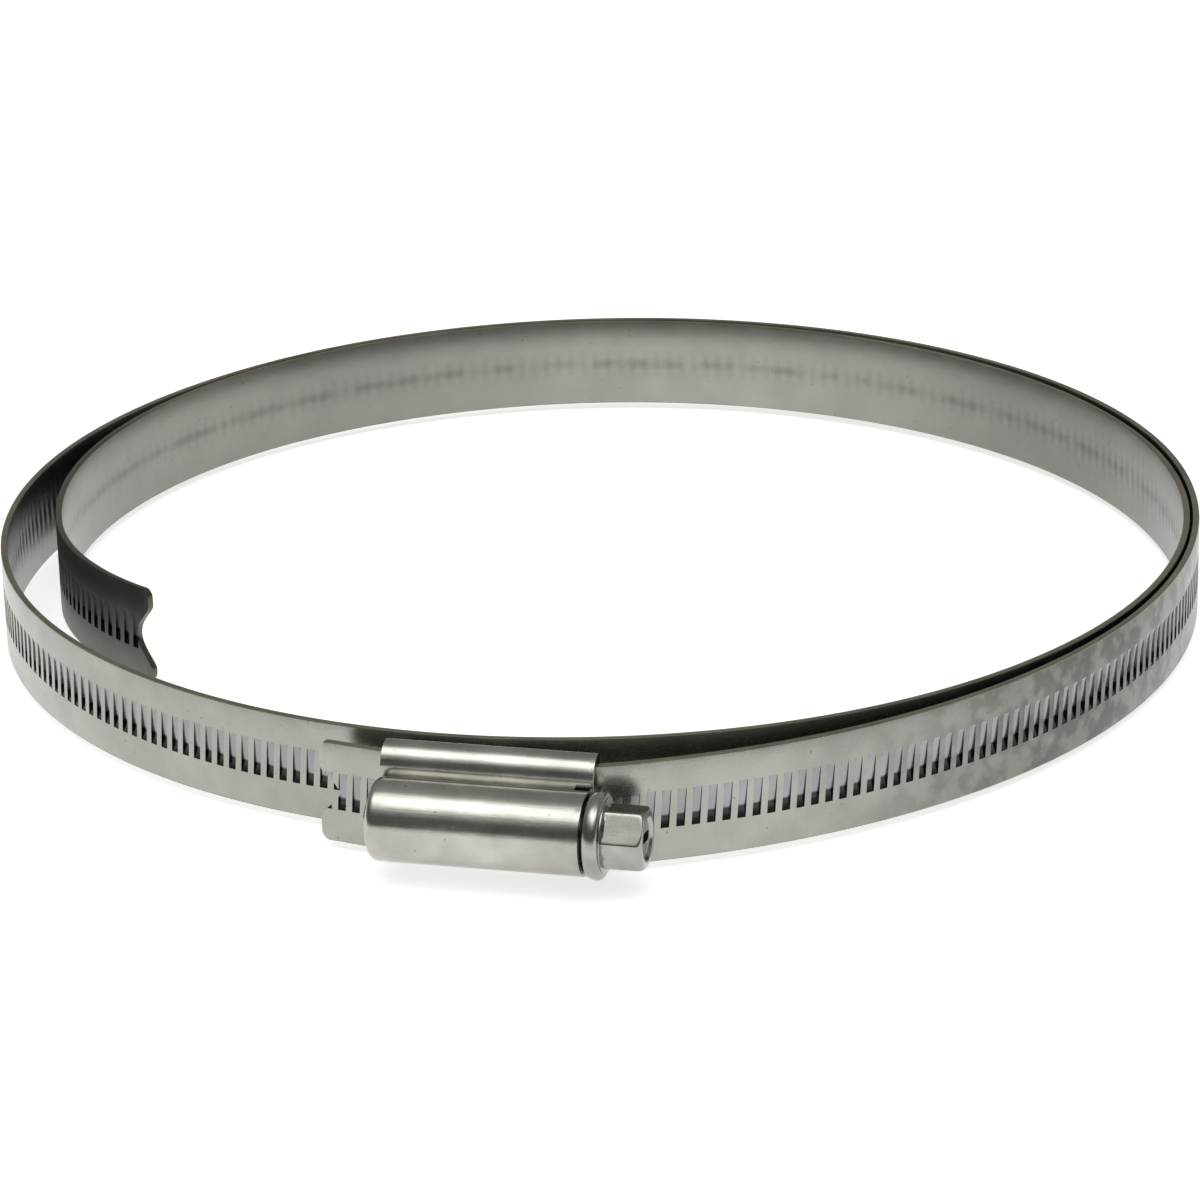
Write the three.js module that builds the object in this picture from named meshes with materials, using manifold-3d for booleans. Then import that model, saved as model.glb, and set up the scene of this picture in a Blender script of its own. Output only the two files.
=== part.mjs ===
// Worm-drive hose clamp, supplied open: a long steel strip wound into a loose spiral, a one-piece
// pressed housing on the strip's fixed end, and a worm screw that runs in the housing.
// Millimetres, +Z up. The screw's axis runs along +X with its head at +X, and the loop's axis is +Z.

import * as THREE from 'three';
import { mergeVertices } from 'three/addons/utils/BufferGeometryUtils.js';
import Module from 'manifold-3d';

const DEG = Math.PI / 180;

// Strip
const BAND_WIDTH = 13;
const BAND_THICKNESS = 0.9;
const STRIP_FACE_Y = -86.95;          // middle of the strip's thickness where the housing holds it
const TAB_LENGTH = 8.1;               // straight tab that stands out of the housing's tip end
const TAB_BEND = 11;                  // degrees, inwards
const BEND_RADIUS = 6;                // both bends beside the housing
const STRAIGHT_START_X = -3.9;        // flat stretch inside the housing
const STRAIGHT_END_X = 20.6;
const CHORD_ANGLE = 5;                // degrees per facet round the loop
// From the housing's head end round the loop, twice, to the free tail: [degrees turned, radius].
const LOOP_ARCS = [
  [22, BEND_RADIUS],                  // bend away from the screw's collar
  [40, 95], [50, 90.5],               // right-hand side, outer turn
  [60, 81], [60, 78.5],               // back
  [60, 85.5], [60, 80.5],             // left, and behind the housing
  [60, 78.5], [60, 83],               // right-hand side, inner turn
  [60, 82], [60, 75.5],               // back, drawing in
  [60, 72], [40, 45.5],               // left, and the springy tail
];

// Thread grooves pressed into the strip's outer face: deep at the low end, running out at the top
const LEAD = 1.9;                     // the screw's, so also the grooves' pitch
const GROOVE_WIDTH = 1.05;
const GROOVE_DEPTH = 0.42;
const GROOVE_PROUD = 0.2;             // how far a cutter stands out of the face, short of the next layer
const GROOVE_LOW = 4.25;
const GROOVE_FLOOR_TOP = 5.75;
const GROOVE_HIGH = 9.1;
const GROOVE_LEAN = 4.3;              // degrees, the thread's helix angle
const GROOVE_PHASE = 1.1;             // middle of the first groove, from the fixed tip

// Notch in each end of the strip
const NOTCH_DEPTH = 2.6;
const NOTCH_HALF_HEIGHT = 3.6;
const EAR_RADIUS = 1.3;

// Housing
const MID_Z = BAND_WIDTH / 2;
const HOUSING_X0 = -4.4;
const HOUSING_X1 = 21.75;
const SHEET = 0.6;
const SADDLE_BACK_Y = -85.6;          // face that lies against the hose
const CAVITY_BACK_Y = -86.25;
const CAVITY_FRONT_Y = -88.7;
const SADDLE_FRONT_Y = -89.3;
const EDGE_CLEARANCE = 0.3;           // between the strip's edges and the folded sides
const SADDLE_CORNER = 0.95;
const SHOULDER_RADIUS = 2.7;          // the saddle's broad upper front corner
const CAVITY_SHOULDER = 2;
const SCREW_Y = -92.6;
const BORE_RADIUS = 4.45;
const BARREL_RADIUS = 5.05;
const BARREL_ROUNDING = 1.1;
const LIP_RADIUS = 2.9;               // turned-in lip that the screw's tip runs in
const LIP_THICKNESS = 0.8;
const STAKE_RADIUS = 3;               // punch that stakes the saddle to the strip
const STAKE_DEPTH = 0.3;
const STAKE_SHARES = [0.2, 0.8];       // of the housing's length

// Screw
const TIP_X = -5.1;
const TIP_ROUNDING = 0.4;
const JOURNAL_RADIUS = 2.6;
const THREAD_START_X = -3.2;
const THREAD_END_X = 20.9;
const CREST_RADIUS = 4.3;
const ROOT_RADIUS = 3.45;
const THREAD_RUNOUT = 1.2;
const COLLAR_X0 = 22.05;
const COLLAR_X1 = 24.15;
const COLLAR_RADIUS = 5.35;
const COLLAR_ROUNDING = 0.7;
const HEX_END_X = 29.1;
const HEX_ACROSS_FLATS = 7;
const HEX_TURN = 8;                   // degrees that the front corner stands above level
const HEX_CHAMFER = 0.8;
const DRIVER_SLOT_LENGTH = 4.6;       // blind, short of the hex's flats
const DRIVER_SLOT_WIDTH = 1.2;
const DRIVER_SLOT_DEPTH = 1.6;

// How far a cutter or a joined piece runs past the face it crosses
const OVERLAP = 0.5;

const steel = (color, roughness) => new THREE.MeshStandardMaterial({ color, roughness, metalness: 1 });

const wasm = await Module();
wasm.setup();

// A closed three.js geometry as a solid that can be cut and joined.
function solid(geometry) {
  const bare = geometry.clone();
  bare.deleteAttribute('normal');
  bare.deleteAttribute('uv');
  const merged = mergeVertices(bare, 1e-4);
  return new wasm.Manifold(new wasm.Mesh({
    numProp: 3,
    vertProperties: new Float32Array(merged.attributes.position.array),
    triVerts: new Uint32Array(merged.index.array),
  }));
}

function geometryOf(manifold) {
  const mesh = manifold.getMesh();
  const geometry = new THREE.BufferGeometry();
  geometry.setAttribute('position', new THREE.BufferAttribute(mesh.vertProperties, 3));
  geometry.setIndex(new THREE.BufferAttribute(mesh.triVerts, 1));
  geometry.computeVertexNormals();
  return geometry;
}

// Turns an outline drawn in (Y, Z) and pushed along the third direction into one pushed along +X.
function alongX(shape, x0, x1, curveSegments = 10) {
  const geometry = new THREE.ExtrudeGeometry(shape, { depth: x1 - x0, bevelEnabled: false, curveSegments });
  geometry.applyMatrix4(new THREE.Matrix4().makeBasis(
    new THREE.Vector3(0, 1, 0), new THREE.Vector3(0, 0, 1), new THREE.Vector3(1, 0, 0)));
  return geometry.translate(x0, 0, 0);
}

// Revolves an outline of [x, radius] points about the screw's axis.
function turnedX(outline, segments) {
  const points = outline.map(([x, radius]) => new THREE.Vector2(radius, x));
  const geometry = new THREE.LatheGeometry(points, segments);
  geometry.rotateZ(-Math.PI / 2);
  return geometry.translate(0, SCREW_Y, MID_Z);
}

// Points of a rounded corner in a turned outline, from one angle to another.
function corner(x, radius, size, from, to, steps = 4) {
  const points = [];
  for (let i = 0; i <= steps; i++) {
    const angle = (from + (to - from) * i / steps) * DEG;
    points.push([x + size * Math.cos(angle), radius + size * Math.sin(angle)]);
  }
  return points;
}

// Places along the middle of the strip, each with its position and heading.
function stripPath() {
  const places = [];
  let x = STRAIGHT_START_X - BEND_RADIUS * Math.sin(TAB_BEND * DEG);
  let y = STRIP_FACE_Y + BEND_RADIUS * (1 - Math.cos(TAB_BEND * DEG));
  let heading = -TAB_BEND * DEG;
  places.push({ x: x - TAB_LENGTH * Math.cos(heading), y: y - TAB_LENGTH * Math.sin(heading), heading });
  places.push({ x, y, heading });
  const arc = (degrees, radius, maxStep) => {
    const steps = Math.ceil(degrees / maxStep);
    const centreX = x - radius * Math.sin(heading);
    const centreY = y + radius * Math.cos(heading);
    for (let i = 1; i <= steps; i++) {
      const angle = heading + degrees * DEG * i / steps;
      x = centreX + radius * Math.sin(angle);
      y = centreY - radius * Math.cos(angle);
      places.push({ x, y, heading: angle });
    }
    heading += degrees * DEG;
  };
  arc(TAB_BEND, BEND_RADIUS, CHORD_ANGLE);
  x = STRAIGHT_END_X;
  places.push({ x, y, heading });
  for (const [degrees, radius] of LOOP_ARCS) {
    arc(degrees, radius, CHORD_ANGLE);
  }
  return places;
}

// A point at a distance outwards from the middle of the strip.
function offset(place, distance) {
  const x = place.x + distance * Math.sin(place.heading);
  const y = place.y - distance * Math.cos(place.heading);
  return new THREE.Vector2(x, y);
}

// What is cut off an end of the strip: drawn in (distance in from the end, height).
function endCutter(place, direction) {
  const shape = new THREE.Shape();
  const beyond = 2 * OVERLAP;
  shape.moveTo(-beyond, -beyond);
  shape.lineTo(EAR_RADIUS, -beyond);
  shape.lineTo(EAR_RADIUS, 0);
  shape.absarc(EAR_RADIUS, EAR_RADIUS, EAR_RADIUS, -90 * DEG, -180 * DEG, true);
  const steps = 8;
  for (let i = 0; i <= steps; i++) {
    const t = i / steps * 2 - 1;
    shape.lineTo(NOTCH_DEPTH * (1 + Math.cos(t * Math.PI)) / 2, MID_Z + t * NOTCH_HALF_HEIGHT);
  }
  shape.absarc(EAR_RADIUS, BAND_WIDTH - EAR_RADIUS, EAR_RADIUS, 180 * DEG, 90 * DEG, true);
  shape.lineTo(EAR_RADIUS, BAND_WIDTH + beyond);
  shape.lineTo(-beyond, BAND_WIDTH + beyond);
  shape.closePath();
  const depth = 3 * BAND_THICKNESS;
  const geometry = new THREE.ExtrudeGeometry(shape, { depth, bevelEnabled: false, curveSegments: 4 });
  geometry.translate(0, 0, -depth / 2);
  const inwards = new THREE.Vector3(Math.cos(place.heading), Math.sin(place.heading), 0);
  inwards.multiplyScalar(direction);
  const up = new THREE.Vector3(0, 0, 1);
  const through = inwards.clone().cross(up);
  geometry.applyMatrix4(new THREE.Matrix4().makeBasis(inwards, up, through));
  return solid(geometry.translate(place.x, place.y, 0));
}

// The place a given distance along the strip from its fixed tip.
function placeAt(places, distance) {
  let left = distance;
  for (let i = 1; i < places.length; i++) {
    const from = places[i - 1];
    const to = places[i];
    const length = Math.hypot(to.x - from.x, to.y - from.y);
    if (left <= length) {
      const t = left / length;
      return {
        x: from.x + (to.x - from.x) * t,
        y: from.y + (to.y - from.y) * t,
        heading: Math.atan2(to.y - from.y, to.x - from.x),
      };
    }
    left -= length;
  }
  return null;
}

// One groove's cut: its side outline is drawn in (outwards, height from the strip's middle).
function grooveCutter(place) {
  const face = BAND_THICKNESS / 2;
  const shape = new THREE.Shape();
  shape.moveTo(face + GROOVE_PROUD, GROOVE_LOW - MID_Z);
  shape.lineTo(face + GROOVE_PROUD, GROOVE_HIGH - MID_Z);
  shape.lineTo(face, GROOVE_HIGH - MID_Z);
  shape.lineTo(face - GROOVE_DEPTH, GROOVE_FLOOR_TOP - MID_Z);
  shape.lineTo(face - GROOVE_DEPTH, GROOVE_LOW - MID_Z);
  shape.closePath();
  const geometry = new THREE.ExtrudeGeometry(shape, { depth: GROOVE_WIDTH, bevelEnabled: false });
  geometry.translate(0, 0, -GROOVE_WIDTH / 2);
  geometry.rotateX(-GROOVE_LEAN * DEG);
  const outwards = new THREE.Vector3(Math.sin(place.heading), -Math.cos(place.heading), 0);
  const up = new THREE.Vector3(0, 0, 1);
  geometry.applyMatrix4(new THREE.Matrix4().makeBasis(outwards, up, outwards.clone().cross(up)));
  return solid(geometry.translate(place.x, place.y, MID_Z));
}

function grooves(places) {
  const cutters = [];
  let place = placeAt(places, GROOVE_PHASE);
  while (place) {
    cutters.push(grooveCutter(place));
    place = placeAt(places, GROOVE_PHASE + cutters.length * LEAD);
  }
  return wasm.Manifold.union(cutters);
}

function band() {
  const places = stripPath();
  const half = BAND_THICKNESS / 2;
  const outline = [
    ...places.map((place) => offset(place, half)),
    ...places.map((place) => offset(place, -half)).reverse(),
  ];
  const shape = new THREE.Shape(outline);
  const strip = solid(new THREE.ExtrudeGeometry(shape, { depth: BAND_WIDTH, bevelEnabled: false }));
  const cut = strip
    .subtract(grooves(places))
    .subtract(endCutter(places[0], 1))
    .subtract(endCutter(places[places.length - 1], -1));
  return geometryOf(cut);
}

// Rounded rectangle in (Y, Z); back is the side nearest the loop's centre. The shoulder is the upper front
// corner.
function roundedBox(front, back, low, high, radius, shoulder) {
  const shape = new THREE.Shape();
  shape.moveTo(front + radius, low);
  shape.lineTo(back - radius, low);
  shape.absarc(back - radius, low + radius, radius, -90 * DEG, 0, false);
  shape.lineTo(back, high - radius);
  shape.absarc(back - radius, high - radius, radius, 0, 90 * DEG, false);
  shape.lineTo(front + shoulder, high);
  shape.absarc(front + shoulder, high - shoulder, shoulder, 90 * DEG, 180 * DEG, false);
  shape.lineTo(front, low + radius);
  shape.absarc(front + radius, low + radius, radius, 180 * DEG, 270 * DEG, false);
  return shape;
}

function barrel() {
  const lipInner = HOUSING_X0 + LIP_THICKNESS;
  const rounding = BARREL_ROUNDING;
  return turnedX([
    [HOUSING_X0, LIP_RADIUS],
    ...corner(HOUSING_X0 + rounding, BARREL_RADIUS - rounding, rounding, 180, 90),
    [HOUSING_X1, BARREL_RADIUS],
    [HOUSING_X1, BORE_RADIUS],
    [lipInner, BORE_RADIUS],
    [lipInner, LIP_RADIUS],
    [HOUSING_X0, LIP_RADIUS],
  ], 40);
}

function housing() {
  const sides = EDGE_CLEARANCE + SHEET;
  const saddle = solid(alongX(
    roundedBox(SADDLE_FRONT_Y, SADDLE_BACK_Y, -sides, BAND_WIDTH + sides, SADDLE_CORNER, SHOULDER_RADIUS),
    HOUSING_X0, HOUSING_X1, 6));
  const cavity = solid(alongX(
    roundedBox(CAVITY_FRONT_Y, CAVITY_BACK_Y, -EDGE_CLEARANCE, BAND_WIDTH + EDGE_CLEARANCE,
      SADDLE_CORNER - SHEET, CAVITY_SHOULDER),
    HOUSING_X0 - OVERLAP, HOUSING_X1 + OVERLAP, 6));
  const bore = solid(turnedX([
    [HOUSING_X0 + LIP_THICKNESS, 0],
    [HOUSING_X0 + LIP_THICKNESS, BORE_RADIUS],
    [HOUSING_X1 + OVERLAP, BORE_RADIUS],
    [HOUSING_X1 + OVERLAP, 0],
  ], 40));
  let body = solid(barrel()).add(saddle.subtract(bore)).subtract(cavity);
  for (const share of STAKE_SHARES) {
    const stake = new THREE.SphereGeometry(STAKE_RADIUS, 20, 12);
    stake.translate(
      HOUSING_X0 + share * (HOUSING_X1 - HOUSING_X0),
      SADDLE_BACK_Y + STAKE_RADIUS - STAKE_DEPTH,
      MID_Z);
    body = body.subtract(solid(stake));
  }
  return geometryOf(body);
}

// Worm: a rod whose radius follows the thread round and along it.
function worm() {
  const stepsPerTurn = 6;
  const around = 20;
  const length = THREAD_END_X - THREAD_START_X;
  const rows = Math.round(length / LEAD * stepsPerTurn);
  const rod = new THREE.CylinderGeometry(CREST_RADIUS, CREST_RADIUS, length, around, rows);
  const position = rod.attributes.position;
  const place = new THREE.Vector3();
  for (let i = 0; i < position.count; i++) {
    place.fromBufferAttribute(position, i);
    const radius = Math.hypot(place.x, place.z);
    if (radius < CREST_RADIUS / 2) {
      continue;
    }
    const turn = Math.atan2(place.z, place.x) / (2 * Math.PI);
    const phase = place.y / LEAD + turn;
    const wave = Math.cos(2 * Math.PI * phase);
    const flank = THREE.MathUtils.smoothstep(wave, -0.6, 0.6);
    const fromEnd = length / 2 - Math.abs(place.y);
    const runout = THREE.MathUtils.clamp(fromEnd / THREAD_RUNOUT, 0, 1);
    const grown = ROOT_RADIUS + (CREST_RADIUS - ROOT_RADIUS) * flank * runout;
    position.setXYZ(i, place.x * grown / radius, place.y, place.z * grown / radius);
  }
  rod.rotateZ(-Math.PI / 2);
  return rod.translate((THREAD_START_X + THREAD_END_X) / 2, SCREW_Y, MID_Z);
}

function hexHead() {
  const cornerRadius = HEX_ACROSS_FLATS / 2 / Math.cos(30 * DEG);
  const shape = new THREE.Shape();
  for (let i = 0; i < 6; i++) {
    const angle = (180 - HEX_TURN + 60 * i) * DEG;
    const point = [cornerRadius * Math.cos(angle), cornerRadius * Math.sin(angle)];
    if (i === 0) {
      shape.moveTo(...point);
    } else {
      shape.lineTo(...point);
    }
  }
  shape.closePath();
  const prism = alongX(shape, COLLAR_X1 - OVERLAP, HEX_END_X).translate(0, SCREW_Y, MID_Z);
  const chamferStart = HEX_END_X - HEX_CHAMFER;
  const envelope = turnedX([
    [COLLAR_X1 - 2 * OVERLAP, 0],
    [COLLAR_X1 - 2 * OVERLAP, cornerRadius],
    [chamferStart, cornerRadius],
    ...corner(chamferStart, HEX_ACROSS_FLATS / 2 - HEX_CHAMFER / 2, HEX_CHAMFER, 60, 0, 3),
    [HEX_END_X, 0],
  ], 36);
  const slot = new THREE.BoxGeometry(2 * DRIVER_SLOT_DEPTH, DRIVER_SLOT_LENGTH, DRIVER_SLOT_WIDTH);
  slot.rotateX(-HEX_TURN * DEG);
  slot.translate(HEX_END_X, SCREW_Y, MID_Z);
  return solid(prism).intersect(solid(envelope)).subtract(solid(slot));
}

function screw() {
  const coreRadius = ROOT_RADIUS - OVERLAP;
  const shank = turnedX([
    [TIP_X, 0],
    ...corner(TIP_X + TIP_ROUNDING, JOURNAL_RADIUS - TIP_ROUNDING, TIP_ROUNDING, 180, 90, 2),
    [THREAD_START_X + OVERLAP, JOURNAL_RADIUS],
    [THREAD_START_X + OVERLAP, coreRadius],
    [COLLAR_X0, coreRadius],
    ...corner(COLLAR_X0 + COLLAR_ROUNDING, COLLAR_RADIUS - COLLAR_ROUNDING, COLLAR_ROUNDING, 180, 90, 3),
    ...corner(COLLAR_X1 - COLLAR_ROUNDING, COLLAR_RADIUS - COLLAR_ROUNDING, COLLAR_ROUNDING, 90, 0, 3),
    [COLLAR_X1, 0],
  ], 40);
  return geometryOf(solid(shank).add(solid(worm())).add(hexHead()));
}

function named(name, geometry, material) {
  const mesh = new THREE.Mesh(geometry, material);
  mesh.name = name;
  return mesh;
}

const group = new THREE.Group();
group.add(named('band', band(), steel(0xa8a8a2, 0.34)));
group.add(named('housing', housing(), steel(0xbab7ae, 0.28)));
group.add(named('worm_screw', screw(), steel(0xa39c92, 0.24)));

// The origin is the middle of the whole clamp's box, at its lowest edge.
const box = new THREE.Box3().setFromObject(group);
const middle = box.getCenter(new THREE.Vector3());
group.position.set(-middle.x, -middle.y, -box.min.z);

export default group;
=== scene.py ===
import math

import bmesh
import bpy
import numpy as np
from mathutils import Matrix, Vector


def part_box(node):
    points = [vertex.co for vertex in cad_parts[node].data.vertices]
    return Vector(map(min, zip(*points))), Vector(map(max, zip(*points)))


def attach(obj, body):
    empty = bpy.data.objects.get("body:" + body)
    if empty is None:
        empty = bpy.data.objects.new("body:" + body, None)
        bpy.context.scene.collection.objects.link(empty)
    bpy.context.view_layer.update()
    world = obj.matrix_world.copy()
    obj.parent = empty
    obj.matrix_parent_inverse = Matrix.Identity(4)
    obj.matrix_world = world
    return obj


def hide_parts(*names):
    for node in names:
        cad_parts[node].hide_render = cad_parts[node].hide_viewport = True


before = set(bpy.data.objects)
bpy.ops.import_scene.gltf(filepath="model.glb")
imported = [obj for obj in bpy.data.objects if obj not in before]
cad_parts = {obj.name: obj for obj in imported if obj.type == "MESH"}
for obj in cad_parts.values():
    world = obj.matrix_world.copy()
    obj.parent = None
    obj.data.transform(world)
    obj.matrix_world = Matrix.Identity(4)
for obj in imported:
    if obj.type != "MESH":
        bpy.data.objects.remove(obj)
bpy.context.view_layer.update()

# ---------------------------------------------------------------- sizes, in metres
MM = 0.001
BAND_WIDTH = 13 * MM
BAND_THICKNESS = 0.9 * MM
STRIP_FACE_Y = -86.95 * MM
TAB_LENGTH = 8.1 * MM
TAB_BEND = 11
BEND_RADIUS = 6 * MM
STRAIGHT_START_X = -3.9 * MM
STRAIGHT_END_X = 20.6 * MM
# The strip's loop, from the housing's head end to the free tail: (degrees turned, radius)
LOOP_ARCS = [
    (22, BEND_RADIUS),
    (40, 95 * MM), (50, 90.5 * MM),
    (60, 81 * MM), (60, 78.5 * MM),
    (60, 85.5 * MM), (60, 80.5 * MM),
    (60, 78.5 * MM), (60, 83 * MM),
    (60, 82 * MM), (60, 75.5 * MM),
    (60, 72 * MM), (40, 45.5 * MM),
]
MID_Z = BAND_WIDTH / 2
HOUSING_X0 = -4.4 * MM
HOUSING_X1 = 21.75 * MM
SADDLE_BACK_Y = -85.6 * MM
SADDLE_FRONT_Y = -89.3 * MM
SHEET = 0.6 * MM
SADDLE_SIDE = 0.9 * MM
BARREL_RADIUS = 5.05 * MM
SCREW_Y = -92.6 * MM
LIP_RADIUS = 2.9 * MM

# The design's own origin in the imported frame, from where the housing stands.
housing_low, housing_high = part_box("housing")
SHIFT = Vector((
    housing_low.x - HOUSING_X0,
    housing_high.y - SADDLE_BACK_Y,
    housing_low.z + SADDLE_SIDE,
))


# ---------------------------------------------------------------- mesh helpers
def new_object(name, verts, faces, materials, face_slots=None, uvs=None):
    """A mesh object at the origin from points in the design's own frame."""
    mesh = bpy.data.meshes.new(name)
    moved = np.asarray(verts, float) + np.array(SHIFT)
    mesh.from_pydata(moved.tolist(), [], faces)
    for material in materials:
        mesh.materials.append(material)
    if face_slots is not None:
        mesh.polygons.foreach_set("material_index", face_slots)
    if uvs is not None:
        layer = mesh.uv_layers.new(name="along")
        loops = np.empty(len(mesh.loops), np.int32)
        mesh.loops.foreach_get("vertex_index", loops)
        layer.data.foreach_set("uv", np.asarray(uvs, float)[loops].ravel())
    mesh.validate()
    obj = bpy.data.objects.new(name, mesh)
    bpy.context.scene.collection.objects.link(obj)
    return obj


def smooth(obj, degrees=32):
    obj.data.polygons.foreach_set("use_smooth", [True] * len(obj.data.polygons))
    obj.data.set_sharp_from_angle(angle=math.radians(degrees))


def outward(obj):
    """Makes every shell's faces point out."""
    bm = bmesh.new()
    bm.from_mesh(obj.data)
    bmesh.ops.recalc_face_normals(bm, faces=bm.faces)
    bm.to_mesh(obj.data)
    bm.free()


def cut(obj, cutter):
    """Cuts one object out of another for good."""
    modifier = obj.modifiers.new("cut", "BOOLEAN")
    modifier.operation = "DIFFERENCE"
    modifier.solver = "EXACT"
    modifier.material_mode = "TRANSFER"
    modifier.object = cutter
    depsgraph = bpy.context.evaluated_depsgraph_get()
    result = bpy.data.meshes.new_from_object(obj.evaluated_get(depsgraph))
    obj.modifiers.clear()
    old = obj.data
    obj.data = result
    result.name = obj.name
    bpy.data.meshes.remove(old)
    bpy.data.objects.remove(cutter)


def grid_faces(rows, columns, wrap_rows=False, wrap_columns=False, start=0):
    """Quads over a grid of points stored row by row."""
    faces = []
    for i in range(rows if wrap_rows else rows - 1):
        for j in range(columns if wrap_columns else columns - 1):
            a = start + i * columns + j
            b = start + i * columns + (j + 1) % columns
            c = start + (i + 1) % rows * columns + (j + 1) % columns
            d = start + (i + 1) % rows * columns + j
            faces.append((a, b, c, d))
    return faces


# ---------------------------------------------------------------- materials
BLOTCH_SCALE = 190.0
SCUFF_SCALE = 1500.0
SPECK_SCALE = 420.0
SPECK_DEPTH = 0.35
CLOUD_SCALE = 38.0
LINE_SCALE = 260.0
PATCH_SCALE = 330.0
FINE_RELIEF = 0.00003      # metres, grain and scuffs
WAVE_RELIEF = 0.0002       # metres, the sheet's slow waves


def node(tree, kind, **settings):
    made = tree.nodes.new(kind)
    for name, value in settings.items():
        setattr(made, name, value)
    return made


def steel(name, colour, roughness, grain, grain_strength=0.18, blotch=0.08, wear=0.5, shade=None, dull=None):
    """Satin stainless steel: fine rolled grain, faint blotches, scuffs and small dark specks.

    grain is (vector source, scale): how the fine lines run. shade makes a grey that multiplies the
    colour, dull a number added to the roughness.
    """
    material = bpy.data.materials.new(name)
    material.use_nodes = True
    tree = material.node_tree
    link = tree.links.new
    shader = tree.nodes["Principled BSDF"]
    shader.inputs["Metallic"].default_value = 1.0
    source, scale = grain
    coords = node(tree, "ShaderNodeTexCoord")
    lines_map = node(tree, "ShaderNodeMapping")
    lines_map.inputs["Scale"].default_value = scale
    link(coords.outputs[source], lines_map.inputs["Vector"])
    lines = node(tree, "ShaderNodeTexNoise")
    lines.inputs["Scale"].default_value = 1.0
    lines.inputs["Detail"].default_value = 4.0
    lines.inputs["Roughness"].default_value = 0.65
    link(lines_map.outputs["Vector"], lines.inputs["Vector"])

    blotches = node(tree, "ShaderNodeTexNoise")
    blotches.inputs["Scale"].default_value = BLOTCH_SCALE
    blotches.inputs["Detail"].default_value = 5.0
    link(coords.outputs["Object"], blotches.inputs["Vector"])

    scuffs = node(tree, "ShaderNodeTexNoise")
    scuffs.inputs["Scale"].default_value = SCUFF_SCALE
    scuffs.inputs["Detail"].default_value = 3.0
    scuffs.inputs["Distortion"].default_value = 1.2
    link(coords.outputs["Object"], scuffs.inputs["Vector"])

    specks = node(tree, "ShaderNodeTexVoronoi")
    specks.inputs["Scale"].default_value = SPECK_SCALE
    specks.inputs["Randomness"].default_value = 1.0
    link(coords.outputs["Object"], specks.inputs["Vector"])
    speck_ramp = node(tree, "ShaderNodeValToRGB")
    speck_ramp.color_ramp.elements[0].position = 0.035
    speck_ramp.color_ramp.elements[0].color = (1 - SPECK_DEPTH, 1 - SPECK_DEPTH, 1 - SPECK_DEPTH, 1)
    speck_ramp.color_ramp.elements[1].position = 0.085
    speck_ramp.color_ramp.elements[1].color = (1, 1, 1, 1)
    link(specks.outputs["Distance"], speck_ramp.inputs["Fac"])

    tone = node(tree, "ShaderNodeValToRGB")
    dark = [c * (1 - blotch) for c in colour]
    light = [min(1.0, c * (1 + blotch)) for c in colour]
    tone.color_ramp.elements[0].position = 0.32
    tone.color_ramp.elements[0].color = (*dark, 1)
    tone.color_ramp.elements[1].position = 0.68
    tone.color_ramp.elements[1].color = (*light, 1)
    link(blotches.outputs["Fac"], tone.inputs["Fac"])

    speckled = node(tree, "ShaderNodeMix", data_type="RGBA", blend_type="MULTIPLY")
    speckled.inputs["Factor"].default_value = 1.0
    link(tone.outputs["Color"], speckled.inputs["A"])
    link(speck_ramp.outputs["Color"], speckled.inputs["B"])
    cloud = node(tree, "ShaderNodeTexNoise")
    cloud.inputs["Scale"].default_value = CLOUD_SCALE
    cloud.inputs["Detail"].default_value = 3.0
    link(coords.outputs["Object"], cloud.inputs["Vector"])
    cloudy = node(tree, "ShaderNodeMapRange")
    cloudy.inputs["From Min"].default_value = 0.3
    cloudy.inputs["From Max"].default_value = 0.7
    cloudy.inputs["To Min"].default_value = 1 - 1.4 * blotch
    cloudy.inputs["To Max"].default_value = 1 + 0.6 * blotch
    link(cloud.outputs["Fac"], cloudy.inputs["Value"])
    grey = cloudy.outputs["Result"]
    if shade:
        shaded = node(tree, "ShaderNodeMath", operation="MULTIPLY")
        link(grey, shaded.inputs[0])
        link(shade(tree), shaded.inputs[1])
        grey = shaded.outputs[0]
    toned = node(tree, "ShaderNodeMix", data_type="RGBA", blend_type="MULTIPLY")
    toned.inputs["Factor"].default_value = 1.0
    link(speckled.outputs["Result"], toned.inputs["A"])
    link(grey, toned.inputs["B"])
    link(toned.outputs["Result"], shader.inputs["Base Color"])

    rough = node(tree, "ShaderNodeMapRange")
    rough.inputs["From Min"].default_value = 0.25
    rough.inputs["From Max"].default_value = 0.75
    rough.inputs["To Min"].default_value = roughness * (1 - wear * 0.35)
    rough.inputs["To Max"].default_value = roughness * (1 + wear * 0.35)
    mixed = node(tree, "ShaderNodeMath", operation="MULTIPLY_ADD")
    mixed.inputs[1].default_value = 0.6
    half = node(tree, "ShaderNodeMath", operation="MULTIPLY")
    half.inputs[1].default_value = 0.4
    link(scuffs.outputs["Fac"], half.inputs[0])
    link(lines.outputs["Fac"], mixed.inputs[0])
    link(half.outputs[0], mixed.inputs[2])
    link(mixed.outputs[0], rough.inputs["Value"])
    spread = rough.outputs["Result"]
    if dull:
        dulled = node(tree, "ShaderNodeMath", operation="ADD")
        link(spread, dulled.inputs[0])
        link(dull(tree), dulled.inputs[1])
        spread = dulled.outputs[0]
    link(spread, shader.inputs["Roughness"])

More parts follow.
